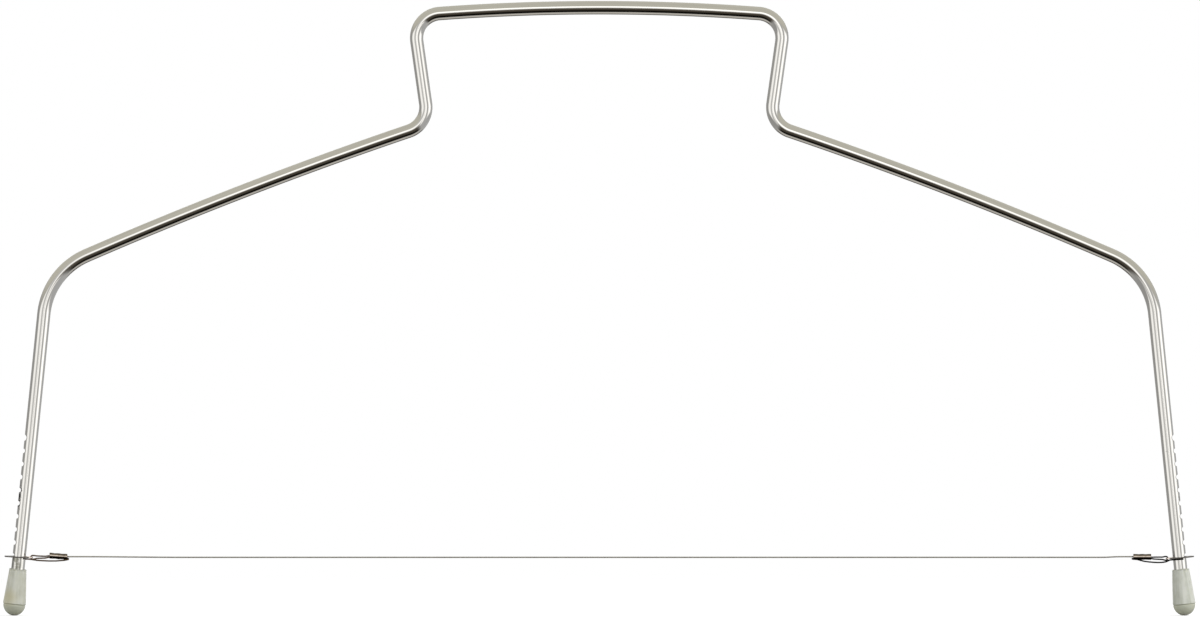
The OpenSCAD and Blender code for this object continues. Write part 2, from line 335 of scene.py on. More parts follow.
def footCap(name, side):
    # A cap turned about the leg: the radius is a function of the height, from the tip up the dome, over a
    # moulding step, up a cone, round the rim and down the socket to its floor.
    f = foot
    big, rim, inner = f["diameter"] / 2, f["rimDiameter"] / 2, rod["diameter"] / 2
    # the rings stand closer together towards the moulding line
    t = np.concatenate([np.linspace(0, 0.84, 34), np.linspace(0.86, 1, 22)]) * 90 * deg
    dome = stacked((big - f["seamStep"]) * np.sin(t), big - big * np.cos(t))
    dome[:, 0] -= f["groove"] * np.exp(-((dome[:, 1] - big + f["grooveBelow"]) / f["grooveWidth"]) ** 2)
    rise = np.linspace(0, 1, 60)
    top, bottom = f["length"] - f["lip"], big + f["seamStep"]
    cone = stacked(big + (rim - big) * rise, bottom + (top - bottom) * rise)
    turn = np.linspace(0, 90, 10)[1:] * deg
    lipMiddle = rim - f["lip"]
    lipOut = stacked(lipMiddle + f["lip"] * np.cos(turn), top + f["lip"] * np.sin(turn))
    lip = (lipMiddle - inner) * f["lipShare"]
    lipIn = stacked(inner + lip - lip * np.sin(turn), f["length"] - lip + lip * np.cos(turn))
    floor = f["length"] - f["socket"] - f["spare"]
    wall = stacked(inner, np.linspace(f["length"] - lip, floor, 7)[1:])
    base = stacked(np.linspace(inner, f["floorHole"], 5)[1:], floor)
    profile = np.concatenate([dome[1:], cone, lipOut, lipIn, wall, base])

    a = roundAngles(f["sides"])
    r, h = profile[:, :1], profile[:, 1:]
    outside = (np.arange(len(profile)) < len(dome) - 1 + len(cone))[:, None]
    swell = (np.sin(a + 0.7 * side + h / 3) + np.sin(2 * a + h / 2.1) + np.sin(3 * a - h / 4.3)) / 3 - 1
    r = r + outside * f["wobble"] * swell * np.clip(h / 2, 0, 1)
    upper = np.clip((h - top + f["mouthReach"]) / f["mouthReach"], 0, 1)
    h = h - upper * f["mouthWave"] * (1 + np.sin(2 * a + 1.1 * side))
    surface = onLeg(side, r * np.cos(a), r * np.sin(a), h - (f["length"] - f["socket"]))
    piece = gridMesh(name, [surface], capEnds=True, flip=side < 0)
    addAttribute(piece, "capSpace", stacked(big * np.cos(a), big * np.sin(a), h).reshape(-1, 3) * mm)
    return piece


# Tab: the flat sheet that sits in a notch and holds the wire
tab = dict(
    thickness=0.3,
    diameter=5.7,
    reach=3.8,          # finger lug, outside the leg
    lugWidth=3.2,
    tongueReach=3.6,    # tongue that the wire is looped through, inside the leg
    tongueWidth=2.2,
    blend=0.25,         # rounding where lug and tongue meet the middle
    gap=0.06,           # between the leg and its hole
    eyelet=0.58,        # diameter of the small hole
    eyeletInset=0.55,
    edge=0.07,          # rounding of the sheared edges
    roll=2.0,           # how far it tips down at the front, in degrees
    burr=0.04,          # how much the punching raised each face about the small hole
    burrReach=0.9,
    sides=200,
    holeSides=32,
)


def tongueRadius(angle, reach, width):
    # Radius by angle of a round-ended tongue that points along angle 0.
    #
    # Its straight side is at halfWidth / sin(angle), and its end is a circle about its middle:
    # middle cos(angle) + sqrt(halfWidth^2 - (middle sin(angle))^2).
    half = width / 2
    middle = reach - half
    s, c = np.abs(np.sin(angle)), np.cos(angle)
    end = middle * c + np.sqrt(np.clip(half ** 2 - (middle * s) ** 2, 0, None))
    beside = half / np.maximum(s, 1e-6)
    return np.where(c <= 0, 0, np.where(beside * c > middle, end, beside))


def tabOutline(angle):
    # The largest of a circle about the leg, the finger lug and the tongue, blended where they meet.
    outline = tab["diameter"] / 2
    lug = tongueRadius(angle, tab["reach"], tab["lugWidth"])
    tongue = tongueRadius(angle + math.pi, tab["tongueReach"], tab["tongueWidth"])
    for arm in [lug, tongue]:
        outline = np.maximum(arm, outline) + cornerRound(arm, outline, tab["blend"])
    return outline


def stampedTab(name, end):
    # A flat washer with two tongues: a rounded rectangle from the leg's hole out to the outline, carried
    # round the leg. A bell curve thickens it about the small hole, and plain slopes tip it.
    a = roundAngles(tab["sides"])
    corner = np.linspace(0, 90, 5) * deg
    turn = np.concatenate([corner + quarter * 90 * deg for quarter in range(4)])[:, None]
    quarter = np.repeat(np.arange(4), len(corner))[:, None]
    edge, half = tab["edge"], tab["thickness"] / 2
    hole = rod["diameter"] / 2 + tab["gap"]
    base = np.where((quarter == 0) | (quarter == 3), tabOutline(a) - edge, hole + edge)
    level = np.where(quarter < 2, half - edge, edge - half)
    radius, height = base + edge * np.cos(turn), level + edge * np.sin(turn)
    outward, sideways = radius * np.cos(a), radius * np.sin(a)
    fromEyelet = outward + eyeletReach()
    burr = tab["burr"] * np.exp(-(fromEyelet ** 2 + sideways ** 2) / tab["burrReach"] ** 2)
    tipped = sideways * math.tan(tab["roll"] * deg) - fromEyelet * math.tan(end["hang"] * deg) - end["drop"]
    upward = firstNotch() + height * (1 + burr / half) + tipped
    side = end["side"]
    return gridMesh(name, [onLeg(side, outward, sideways, upward)], closeAlong=True, flip=side < 0)


def punchEyelet(piece, side):
    # Cuts the small round hole that the wire is looped through.
    a = roundAngles(tab["holeSides"])
    level = firstNotch() + np.array([-1, 1])[:, None] * 3 * tab["thickness"]
    r = tab["eyelet"] / 2
    drum = onLeg(side, r * np.cos(a) - eyeletReach(), r * np.sin(a), level)
    punch = gridMesh("eyeletPunch", [drum], capEnds=True, flip=side < 0)
    cut = piece.modifiers.new("eyelet", "BOOLEAN")
    cut.operation, cut.object, cut.solver = "DIFFERENCE", punch, "EXACT"
    depsgraph = bpy.context.evaluated_depsgraph_get()
    punched = bpy.data.meshes.new_from_object(piece.evaluated_get(depsgraph))
    piece.modifiers.clear()
    piece.data = punched
    bpy.data.objects.remove(punch)


def eyeletReach():
    # Distance of the eyelet from the middle of the leg.
    return tab["tongueReach"] - tab["eyeletInset"]


def eyeletPoint(side):
    # The middle of the eyelet as x, z.
    end, out, up = legFrame(side)
    return end + firstNotch() * up - eyeletReach() * out


# Each end's own shape, from the photograph. The loop's two strands are [x, upper z, lower z], and the tail
# runs from the sleeve's inner end to its cut end as [x, y, z], all from the middle of the turn at the tab.
ends = dict(
    left=dict(
        side=-1,
        start=4.4,      # from the sleeve's mouth to the middle of the turn
        tilt=4.3,       # how far hand crimping tilted the sleeve up at its mouth
        hang=3.3,       # how far the tab hangs down from square to the leg
        drop=0.0,       # how much lower the tab and the turn sit
        ease=28.0,      # length over which the taut wire bends down from its sleeve
        strands=[[-3.3, 0.27, -0.19], [-1.1, 0.36, -0.27]],
        tail=[
            [-9.12, -0.66, -0.6], [-8.2, -0.6, -0.76], [-7.4, -0.55, -0.83], [-6.2, -0.46, -0.93],
            [-4.4, -0.42, -0.94], [-2.6, -0.42, -0.87], [-1.5, -0.45, -0.8], [-0.6, -0.5, -0.69],
            [0.0, -0.62, -0.58], [0.5, -0.8, -0.5], [1.0, -1.15, -0.45], [1.5, -1.38, -0.42],
            [2.0, -1.42, -0.41]]),
    right=dict(
        side=1,
        start=3.85,
        tilt=0.0,
        hang=1.3,
        drop=0.27,
        ease=5.0,
        strands=[[-2.9, 0.06, -0.47], [-0.9, 0.06, -0.56]],
        tail=[
            [-8.57, -0.72, -0.46], [-7.5, -0.66, -0.54], [-6.7, -0.5, -0.76], [-5.9, -0.42, -0.98],
            [-4.8, -0.42, -1.15], [-3.4, -0.42, -1.28], [-2.2, -0.46, -1.34], [-1.2, -0.5, -1.32],
            [-0.5, -0.55, -1.24], [0.1, -0.68, -1.1], [0.6, -0.92, -0.84], [1.05, -1.25, -0.66],
            [1.6, -1.55, -0.62], [2.2, -1.95, -0.59], [3.0, -2.2, -0.53], [3.6, -2.25, -0.48],
            [4.1, -2.25, -0.43], [4.45, -2.25, -0.41]]),
)

eye = dict(
    turnMiddle=0.44,    # from the eyelet to the middle of the turn
    turnRadius=0.485,
    lead=0.25,          # straight bit of each strand beside the turn
    thicker=1.06,       # the loop is a little thicker than the taut wire, from its bending
    tailTurn=0.22,      # reach of the turn round the sleeve's inner end
    tailClear=0.06,     # straight bit between the sleeve and that turn
    hold=0.7,           # how far the loop's strands run into the sleeve
    clear=0.25,         # and how far out of it they stay straight
    stub=0.3,           # how far the tail does, at the inner end
    spacing=0.04,       # distance between the rings of the tube
    rounding=0.32,      # length over which the path's corners are rounded
)


def turnPoint(side):
    # The middle of the turn at the tab, as x without its sign, and z.
    x, z = eyeletPoint(side)
    return abs(x) - eye["turnMiddle"], z


def wireEye(name, end):
    # One wire: out of the sleeve, round through the tab and back into the sleeve, and from there its tail,
    # round the sleeve's inner end and back along the outside to its cut end. Inside the sleeve the two are
    # parted, which leaves room for the taut wire when it slides in. The paths are drawn on the right side,
    # from the middle of the turn, as straight lines and half circles, and are mirrored for the left.
    e, length = eye, ferrule["length"]
    mouth, r, drop = -end["start"], e["turnRadius"], end["drop"]
    held, free = sleeveHeights(end, length - e["hold"]), sleeveHeights(end, length + e["clear"])
    t = np.linspace(0, math.pi, 25)[:, None]

    def leaving(strand):
        # out of the mouth, for the upper wire (1) and the lower one (2)
        return [[mouth - e["hold"], 0, held[strand]], [mouth + e["clear"], 0, free[strand]]]

    loop = np.concatenate([
        leaving(1), [[x, 0, high] for x, high, _ in end["strands"]], [[-e["lead"], 0, r - drop]],
        np.hstack([r * np.sin(t), 0 * t, r * np.cos(t) - drop]),
        [[-e["lead"], 0, -r - drop]], [[x, 0, low] for x, _, low in end["strands"][::-1]], leaving(2)[::-1]])

    far, stubZ, farZ = mouth - length, sleeveHeights(end, e["stub"])[2], sleeveHeights(end, 0)[2]
    _, aside, below = end["tail"][0]
    swing = (1 - np.cos(t)) / 2
    turnX = far - e["tailClear"] - e["tailTurn"] * np.sin(t)
    farTurn = np.hstack([turnX, aside * swing, farZ + (below - farZ) * swing])
    tail = np.concatenate([[[far + e["stub"], 0, stubZ]], farTurn, end["tail"][1:]])

    x, z = turnPoint(end["side"])
    paths = [smoothPath(knots, e["spacing"], e["rounding"]) for knots in [loop, tail]]
    radius = wire["diameter"] / 2 * e["thicker"]
    tubes = [(tubeAlong(path, radius, wire["sides"]) + [x, 0, z]) * [end["side"], 1, 1] for path in paths]
    piece = gridMesh(name, tubes, capEnds=True, flip=end["side"] < 0)
    # 1 on the loop and a half on the tail, poles included; both get the full painted shade, and only the
    # loop is made less metallic
    loopShadeAndDull = [np.full(tube.shape[0] * tube.shape[1] + 2, share) for tube, share in zip(tubes, [1, 0.5])]
    addAttribute(piece, "loopShadeAndDull", np.concatenate(loopShadeAndDull))
    return piece


ferrule = dict(
    diameter=1.45,
    length=4.66,
    wireRise=0.06,      # cutting wire above the ferrule's middle, at the inner end
    borePitch=0.46,     # between its two wires at the inner end
    mouthPitch=0.4,     # and at the mouth
    sink=0.08,          # upper wire below the ferrule's middle, at the mouth
    boreGap=0.02,
    rim=0.09,           # rounding of the cut ends
    crimp=0.05,         # depth of the two pressed flats
    flats=[0.3, 0.7],   # their places, as shares of the length
    flatWidth=0.09,
    squeeze=0.07,       # share by which crimping made it taller and narrower
    sides=72,
)


def sleeveHeights(end, x):
    # Heights of the sleeve's middle and of its upper and lower wires over the middle of the turn, at
    # distances x from its inner end. All three are straight lines, set at the inner end by the taut wire and
    # at the mouth by the tilt.
    f = ferrule
    share = x / f["length"]
    start = wire["rise"] - f["wireRise"]
    middle = start + x * math.tan(end["tilt"] * deg)
    mouthWire = start + f["length"] * math.tan(end["tilt"] * deg) - f["sink"]
    upper = wire["rise"] + share * (mouthWire - wire["rise"])
    return middle, upper, upper - f["borePitch"] - share * (f["mouthPitch"] - f["borePitch"])


def crimpFerrule(name, end):
    # A sleeve along X: a round outside with two pressed flats, rounded cut ends, and a slot-shaped bore.
    #
    # A row is one step of the loop outside, end, bore, end. The outside is an ellipse whose radius falls by
    # crimp * flat(x) at the flats. The bore is a slot: sideways w cos(a), upward w sin(a) over the upper
    # wire's height or, in its lower half, the lower wire's. Its upper half is nowhere lower than the taut
    # wire that slides in.
    f = ferrule
    r, rim, length = f["diameter"] / 2, f["rim"], f["length"]
    a = roundAngles(f["sides"])
    outX = np.linspace(rim, length - rim, 40)[:, None]
    flat = sum(np.exp(-((outX / length - at) / f["flatWidth"]) ** 2) for at in f["flats"])
    press = f["crimp"] * flat * np.sin(a) ** 2
    turn = np.linspace(0, 90, 8)[1:, None] * deg
    rounded = r - rim + rim * np.cos(turn) + 0 * a
    x = np.concatenate([outX, length - rim + rim * np.sin(turn), rim - rim * np.sin(turn[::-1])])
    radius = np.concatenate([r - press, rounded, rounded[::-1]])
    narrow, tall = 1 - f["squeeze"], 1 + f["squeeze"]
    shell = stacked(x, narrow * radius * np.cos(a), tall * radius * np.sin(a))
    shell[..., 2] += sleeveHeights(end, x)[0]

    w = wire["diameter"] / 2 + f["boreGap"]
    boreX = np.linspace(length, 0, 8)[:, None]
    _, upper, lower = sleeveHeights(end, boreX)
    boreZ = w * np.sin(a) + np.where(np.sin(a) > -1e-9, np.maximum(upper, wire["rise"]), lower)
    bore = stacked(boreX, w * np.cos(a), boreZ)
    outer = len(x) - len(turn)
    loop = np.concatenate([shell[:outer], bore, shell[outer:]])
    onShell = radius / r * np.sin(a)
    around = np.concatenate([onShell[:outer], 0 * boreZ, onShell[outer:]])
    turnX, turnZ = turnPoint(end["side"])
    surface = (loop + [turnX - end["start"] - length, 0, turnZ]) * [end["side"], 1, 1]
    piece = gridMesh(name, [surface], closeAlong=True, flip=end["side"] < 0)
    addAttribute(piece, "sleeveHeight", around.ravel())
    return piece


wire = dict(
    diameter=0.36,
    rise=0.17,          # the sleeves hold its ends this much above the middle of the turn at the tab
    hold=0.5,           # how far its ends run into the sleeves
    flat=3.8,           # length of each end that stays level, so that it slides in straight
    steps=240,          # rings along it
    sides=24,
)


def cuttingWire():
    # A round wire between the sleeves, its ends inside them. It is straight, but for a slight bend at each
    # end, where the level end eases down to it by s * s * (3 - 2 s), s being the share of the way along.
    turnX, turnZ = turnPoint(1)
    reach = [turnX - end["start"] - ferrule["length"] + wire["hold"] for end in ends.values()]
    points = np.zeros((wire["steps"], 3))
    points[:, 0] = np.linspace(-reach[0], reach[1], wire["steps"])
    fromEnds = [(x + points[:, 0] * side - wire["flat"]) / end["ease"]
                for x, side, end in zip(reach, [1, -1], ends.values())]
    share = np.clip(np.minimum(*fromEnds), 0, 1)
    points[:, 2] = turnZ + wire["rise"] * (1 - share ** 2 * (3 - 2 * share))
    return gridMesh("tautWire", [tubeAlong(points, wire["diameter"] / 2, wire["sides"])], capEnds=True)


print("building the rod")
bentRod = notchedBar()

print("building the feet, tabs, eyes and ferrules")
caps = {name: footCap(name + "FootCap", end["side"]) for name, end in ends.items()}
tabs = {name: stampedTab(name + "NotchTab", end) for name, end in ends.items()}
for name, end in ends.items():
    punchEyelet(tabs[name], end["side"])
eyes = {name: wireEye(name + "WireLoop", end) for name, end in ends.items()}
sleeves = {name: crimpFerrule(name + "CrimpSleeve", end) for name, end in ends.items()}
tautWire = cuttingWire()


# Materials
def linearColour(code):
    # Turns an sRGB hex colour into linear red, green, blue and alpha.
    values = [int(code[i:i + 2], 16) / 255 for i in (1, 3, 5)]
    return [v / 12.92 if v <= 0.04045 else ((v + 0.055) / 1.055) ** 2.4 for v in values] + [1]


class Shading:
    # The nodes of a material or a world. Each method adds a node and gives back what it puts out.

    def __init__(self, owner):
        owner.use_nodes = True
        self.owner, self.tree = owner, owner.node_tree
        self.tree.nodes.clear()

    def add(self, kind, inputs=None, **settings):
        # Each input, by name or number, takes a value, a hex colour or another node's output.
        node = self.tree.nodes.new("ShaderNode" + kind)
        for key, value in settings.items():
            setattr(node, key, value)
        for key, value in (inputs or {}).items():
            if isinstance(value, bpy.types.NodeSocket):
                self.tree.links.new(value, node.inputs[key])
            else:
                node.inputs[key].default_value = linearColour(value) if isinstance(value, str) else value
        return node.outputs

    def math(self, operation, *values):
        return self.add("Math", dict(enumerate(values)), operation=operation)[0]

    def times(self, first, second):
        return self.math("MULTIPLY", first, second)

    def apart(self, first, second):
        # the difference without its sign
        return self.math("ABSOLUTE", self.math("SUBTRACT", first, second))

    def remap(self, value, span, results=(0, 1), kind="LINEAR"):
        # turns a span of values into a span of results, and holds each end's result beyond it
        bounds = {"From Min": span[0], "From Max": span[1], "To Min": results[0], "To Max": results[1]}
        return self.add("MapRange", {"Value": value, **bounds}, interpolation_type=kind)[0]

    def ease(self, value, span, results=(0, 1)):
        # the same with soft ends
        return self.remap(value, span, results, "SMOOTHSTEP")

    def axes(self, vector):
        return self.add("SeparateXYZ", {0: vector})

    def distance(self, first, second):
        return self.add("VectorMath", {0: first, 1: second}, operation="DISTANCE")["Value"]

    def length(self, vector):
        return self.add("VectorMath", {0: vector}, operation="LENGTH")["Value"]

    def stretch(self, vector, scale):
        return self.add("Mapping", {"Vector": vector, "Scale": scale})["Vector"]

    def attribute(self, name, output="Fac"):
        return self.add("Attribute", attribute_name=name)[output]

    def noise(self, vector, size, detail, roughness, distortion=0):
        # patches of about that many millimetres
        return self.add("TexNoise", {
            "Vector": vector, "Scale": 1 / (size * mm), "Detail": detail, "Roughness": roughness,
            "Distortion": distortion})["Fac"]

    def ramp(self, value, stops):
        # colours through stops of position and hex colour
        colour = self.add("ValToRGB", {"Fac": value})["Color"]
        elements = colour.node.color_ramp.elements
        while len(elements) < len(stops):
            elements.new(0.5)
        for element, (position, code) in zip(elements, stops):
            element.position, element.color = position, linearColour(code)
        return colour

    def mix(self, share, first, second, **settings):
        return self.add("Mix", {0: share, 6: first, 7: second}, data_type="RGBA", **settings)[2]

    def mixValue(self, share, first, second):
        return self.add("Mix", {0: share, 2: first, 3: second}, data_type="FLOAT")[0]

    def bump(self, height, strength, depth, **under):
        return self.add("Bump", {"Height": height, "Strength": strength, "Distance": depth * mm, **under})[0]

    def mixShader(self, share, first, second):
        return self.add("MixShader", {0: share, 1: first, 2: second})[0]

    def finish(self, shader, output="OutputMaterial"):
        # ends the tree, and gives back the material or world
        self.add(output, {"Surface": shader})
        return self.owner

    def finishSurface(self, inputs):
        return self.finish(self.add("BsdfPrincipled", inputs)[0])


def steelRodMaterial():
    # Bright drawn stainless bar: polished, with faint lines along its length from the die, softer grey haze
    # where hands and bending rollers touched it, and dull file marks across the notches.
    t = Shading(bpy.data.materials.new("drawnStainlessBar"))
    space, filed = t.attribute("barSpace", "Vector"), t.attribute("filed")
    # die lines: about 0.4 mm apart round the bar, coarser than real ones so that they show, and 40 mm long
    dieLines = t.noise(t.stretch(space, (0.01, 1, 1)), 0.4, 1, 0.5)
    # handling haze: patches of about 9 mm
    haze = t.noise(space, 9, 4, 0.55)
    # file marks: 0.12 mm apart across the notches
    waveBand = 0.32  # about the width of one of the wave texture's bands at scale 1
    fileMarks = t.add("TexWave", {
        "Vector": space, "Scale": waveBand / (0.12 * mm), "Distortion": 3, "Detail": 2},
        bands_direction="X")["Fac"]
    lineTint = t.ramp(dieLines, [(0.3, "#C7C5C0"), (0.7, "#CFCDC8")])
    filedTint = t.mix(filed, lineTint, "#B4B1AB")
    # painted shade: the notches' dark reflection on their outer side, broken up by noise into specks of less
    # than 1 mm
    specks = t.noise(space, 0.9, 4, 0.65)
    notchShadeShare = t.remap(t.math("MULTIPLY_ADD", t.attribute("notchShade"), 0.3, specks), (0.7, 0.76))
    # mixes the painted shade on the notches into the bar's colour
    notchShaded = t.mix(notchShadeShare, filedTint, "#3C3936")
    # the grey patch: greyer and darker, in mottles of about 1 mm
    patchMottle = t.remap(t.noise(space, 1, 3, 0.6), (0.4, 0.56), (0.25, 1))
    dulled = t.mix(t.times(patchMottle, t.attribute("greyPatch")), notchShaded, "#8B8A80")
    lineRough, hazeRough = t.remap(dieLines, (0.3, 0.7), (0.05, 0.09)), t.remap(haze, (0.45, 0.7), (0, 0.05))
    lineBump = t.bump(dieLines, 0.02, 0.01)
    return t.finishSurface({
        "Base Color": dulled, "Metallic": 1,
        "Roughness": t.mixValue(filed, t.math("ADD", lineRough, hazeRough), 0.34),
        "Normal": t.bump(t.times(fileMarks, filed), 0.5, 0.02, Normal=lineBump)})


def footMaterial():
    # Soft moulded PVC, pale grey-green: matte and slightly waxy. It is drawn out in soft streaks along the
    # cap from the mould, greener on the dome, with painted shade on the dome, in its groove and at the
    # mouth, and one yellowed patch.
    t = Shading(bpy.data.materials.new("mouldedSoftVinyl"))
    place, space = t.add("TexCoord")["Object"], t.attribute("capSpace", "Vector")
    height = t.axes(space)["Z"]
    # streaks about 0.9 mm apart round the cap and 8 mm long
    streaks = t.noise(t.stretch(space, (1, 1, 0.11)), 0.9, 3, 0.55)
    # mottling of about 2.5 mm from uneven colour in the vinyl
    mottle = t.noise(place, 2.5, 4, 0.6)
    # grain of the mould's surface, about 0.2 mm, coarser than the real one so that it shows
    grain = t.noise(place, 0.2, 3, 0.7)
    tones = [(0.36, "#BABCB0"), (0.5, "#CBCDC4"), (0.62, "#D6D7CF")]
    tint = t.ramp(t.mixValue(0.4, streaks, mottle), tones)
    # the left cap has yellowed a little more than the right one
    leftCap = t.remap(t.axes(place)["X"], (10 * mm, -10 * mm), (0, 0.25))
    aged = t.mix(leftCap, tint, "#D8D5C0")
    # the dome, below the moulding line at 3 mm: a little greener, and darker as painted shade, since it
    # faces down
    domeShaded = t.mix(t.remap(height, (3.1 * mm, 3.04 * mm)), aged, "#C0C2B2")
    # painted shade in the groove under the moulding line
    grooveShade = t.remap(t.apart(height, 2.9 * mm), (0.16 * mm, 0.06 * mm), (0, 0.45))
    grooveShaded = t.mix(grooveShade, domeShaded, "#8C8D78")
    # painted shade at the mouth, where the cap meets the leg
    mouthShaded = t.mix(t.remap(height, (11.55 * mm, 12.05 * mm), (0, 0.5)), grooveShaded, "#8E9085")
    # the yellowed patch, low on the outer front of the left cap
    spot = t.ease(t.distance(place, (-153.6 * mm, -2.2 * mm, 4.8 * mm)), (3.2 * mm, 0.6 * mm), (0, 0.7))
    return t.finishSurface({
        "Base Color": t.mix(spot, mouthShaded, "#C4BE9C"), "Roughness": t.remap(mottle, (0.3, 0.7), (0.62, 0.48)),
        "IOR": 1.53, "Subsurface Weight": 0.25, "Subsurface Radius": (1.0, 0.95, 0.7),
        "Subsurface Scale": 0.5 * mm, "Normal": t.bump(grain, 0.25, 0.03)})


def sheetMaterial():
    # Stamped stainless sheet, tumbled after punching: satin, with random fine scratches.
    t = Shading(bpy.data.materials.new("stampedStainlessSheet"))
    place = t.add("TexCoord")["Object"]
    # tumbling scratches, about 0.3 mm
    scratches = t.noise(place, 0.3, 5, 0.7, distortion=1.5)
    tint = t.ramp(scratches, [(0.3, "#4C4946"), (0.7, "#726E69")])
    # painted highlight about the small hole, where the loop turns on it: the tongue is painted bright and
    # pinkish
    holes = [eyeletPoint(end["side"]) * mm for end in ends.values()]
    nearer = t.math("MINIMUM", *[t.distance(place, (x, 0, z)) for x, z in holes])
    tongueHighlight = t.remap(nearer, (1.6 * mm, 1.3 * mm))
    return t.finishSurface({
        "Base Color": t.mix(tongueHighlight, tint, "#E6D8CE"), "Metallic": 1,
        "Roughness": t.remap(scratches, (0.3, 0.7), (0.25, 0.42)), "Normal": t.bump(scratches, 0.2, 0.01)})


def sleeveMaterial():
    # Nickel-plated crimp sleeve: warm grey, pressed smooth, with tarnish in patches, and painted reflection
    # in
    # bands round it: painted shade along its bottom and top, and a painted highlight just above its middle.
    t = Shading(bpy.data.materials.new("nickelPlatedSleeve"))
    # tarnish in patches of about 0.8 mm
    tarnish = t.noise(t.add("TexCoord")["Object"], 0.8, 5, 0.65)
    tint = t.ramp(tarnish, [(0.3, "#8C857D"), (0.55, "#B5AEA6"), (0.8, "#D0CAC3")])
    # painted reflection by height, from the bottom of the sleeve to its top: dark bands low, a white
    # highlight just above the middle, grey at the top
    paintedBands = t.ramp(t.remap(t.attribute("sleeveHeight"), (-1, 1)), [
        (0.06, "#4A4238"), (0.15, "#1C150D"), (0.28, "#1F1810"), (0.38, "#8A8076"), (0.48, "#C8BEB2"),
        (0.58, "#FFFBF6"), (0.7, "#D0C7BD"), (0.84, "#7E766A")])
    return t.finishSurface({
        "Base Color": t.mix(1, tint, paintedBands, blend_type="MULTIPLY"), "Metallic": 1,
        "Roughness": t.remap(tarnish, (0.3, 0.7), (0.2, 0.1)), "Normal": t.bump(tarnish, 0.3, 0.02)})


def wireMaterial():
    # Hard-drawn stainless spring wire: satin, with a faint change of tone every few millimetres.
    t = Shading(bpy.data.materials.new("springWire"))
    place, loopShadeAndDull = t.add("TexCoord")["Object"], t.attribute("loopShadeAndDull")
    # drawing marks, about 3 mm long
    marks = t.noise(place, 3, 4, 0.7)
    tint = t.ramp(marks, [(0.3, "#9A9891"), (0.7, "#AEACA4")])
    # painted shade: the loops and tails are painted darker and browner, and the right ones nearly black
    toRight = t.remap(t.axes(place)["X"], (-10 * mm, 10 * mm))
    loopShaded = t.mix(t.remap(loopShadeAndDull, (0, 0.4)), tint, t.mix(toRight, "#5A4836", "#0C0906"))
    # the loops are also made less metallic, which dulls them
    bare = t.remap(loopShadeAndDull, (0.5, 1), (1, 0.4))
    return t.finishSurface({
        "Base Color": loopShaded, "Metallic": bare, "Roughness": t.remap(marks, (0.3, 0.7), (0.22, 0.36))})


print("making the materials")
steelRod, softVinyl, sheetSteel = steelRodMaterial(), footMaterial(), sheetMaterial()
plateNickel, springWire = sleeveMaterial(), wireMaterial()


def finishPiece(piece, material, body, node):
    # Gives a piece its material and the body it rides on, and hides the CAD node that it stands for.
    piece.data.materials.clear()
    piece.data.materials.append(material)
    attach(piece, body)
    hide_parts(node)


finishPiece(bentRod, steelRod, "root", "frame")
finishPiece(tautWire, springWire, "wire", "cutting_wire")
for name in ends:
    finishPiece(caps[name], softVinyl, "root", name + "_foot")
    finishPiece(tabs[name], sheetSteel, name + "_end", name + "_tab")
    finishPiece(eyes[name], springWire, name + "_end", name + "_wire_eye")
    finishPiece(sleeves[name], plateNickel, name + "_end", name + "_ferrule")


# Stage, light and camera
floorPlan = dict(
    half=1500.0,
    fade=(180.0, 420.0),    # it turns into plain white between these distances from the object
    paint="#E6E6E6",
    glow=0.3,
    bounce="#B0B0AA",       # its colour for light that bounces off it
)


def floorMaterial():
    # A pale floor that fades into white away from the object, and keeps the object's shadow near it.
    t = Shading(bpy.data.materials.new("paleFloor"))
    far = t.length(t.add("TexCoord")["Object"])
    fade = t.remap(far, [distance * mm for distance in floorPlan["fade"]])
    paint = t.add("BsdfDiffuse", {"Color": floorPlan["paint"]})[0]
    glow = t.add("Emission", {"Color": "#FFFFFF", "Strength": floorPlan["glow"]})[0]
    white = t.add("Emission", {"Color": "#FFFFFF", "Strength": 1})[0]
    dull = t.add("BsdfDiffuse", {"Color": floorPlan["bounce"]})[0]
    shown = t.mixShader(fade, t.add("AddShader", {0: paint, 1: glow})[0], white)
    return t.finish(t.mixShader(t.add("LightPath")["Is Camera Ray"], dull, shown))


def makeFloor():
    half = floorPlan["half"] * mm
    mesh = bpy.data.meshes.new("studioFloor")
    corners = [(-half, -half, 0), (half, -half, 0), (half, half, 0), (-half, half, 0)]
    mesh.from_pydata(corners, [], [(0, 1, 2, 3)])
    floor = addObject("studioFloor", mesh)
    mesh.materials.append(floorMaterial())
    floor.visible_glossy = False


